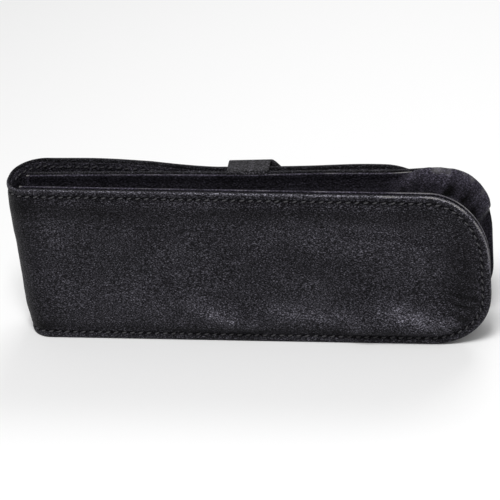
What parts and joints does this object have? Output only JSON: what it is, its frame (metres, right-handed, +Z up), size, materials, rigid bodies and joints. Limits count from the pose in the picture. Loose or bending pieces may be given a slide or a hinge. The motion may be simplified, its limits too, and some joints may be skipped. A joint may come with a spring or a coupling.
{
  "type": "pen case",
  "caption": "Flat leather sleeve for pens with a rounded closed end, a gusset between its panels, and a long flap folded over the mouth and held down by a strap loop.",
  "frame": {"origin": "centre of the case's footprint, on the surface that its long bottom edge stands on", "axes": "+X from the fold to the closed end, -Y out of the plain back panel that the picture faces, +Z up, across the width of the case"},
  "size_m": [0.172, 0.0242, 0.0645],
  "materials": {
    "leather": "smooth black grain leather with a soft sheen",
    "lining": "thin matt black leather",
    "board": "bonded leather board, matt",
    "thread": "waxed black thread"
  },
  "bodies": {
    "pouch": {"back_leather": "leather", "back_board": "board", "back_lining": "lining", "back_thread": "thread", "gusset_bottom": "lining", "gusset_end": "lining", "gusset_top": "lining", "front_leather": "leather", "front_board": "board", "front_lining": "lining", "front_thread": "thread", "divider_1": "lining", "divider_2": "lining", "divider_thread": "thread", "strap_band": "leather", "strap_foot": "leather", "strap_thread": "thread"},
    "spine": {"spine_leather": "leather", "spine_lining": "lining", "spine_thread": "thread"},
    "flap": {"flap_leather": "leather", "flap_board": "board", "flap_lining": "lining", "flap_thread": "thread"}
  },
  "joints": [
    {"name": "spine_crease", "type": "hinge", "parent": "pouch", "child": "spine", "pos_m": [-0.08351, -0.00963, 0.03225], "axis": [0, 0, 1], "range_deg": [0, 90]},
    {"name": "flap_crease", "type": "hinge", "parent": "spine", "child": "flap", "pos_m": [-0.08251, 0.00759, 0.03225], "axis": [0, 0, 1], "range_deg": [0, 90], "deforming": ["strap_band", "strap_thread"]}
  ],
  "couplings": [
    {"joint": "flap_crease", "follows": "spine_crease", "ratio": 1}
  ]
}
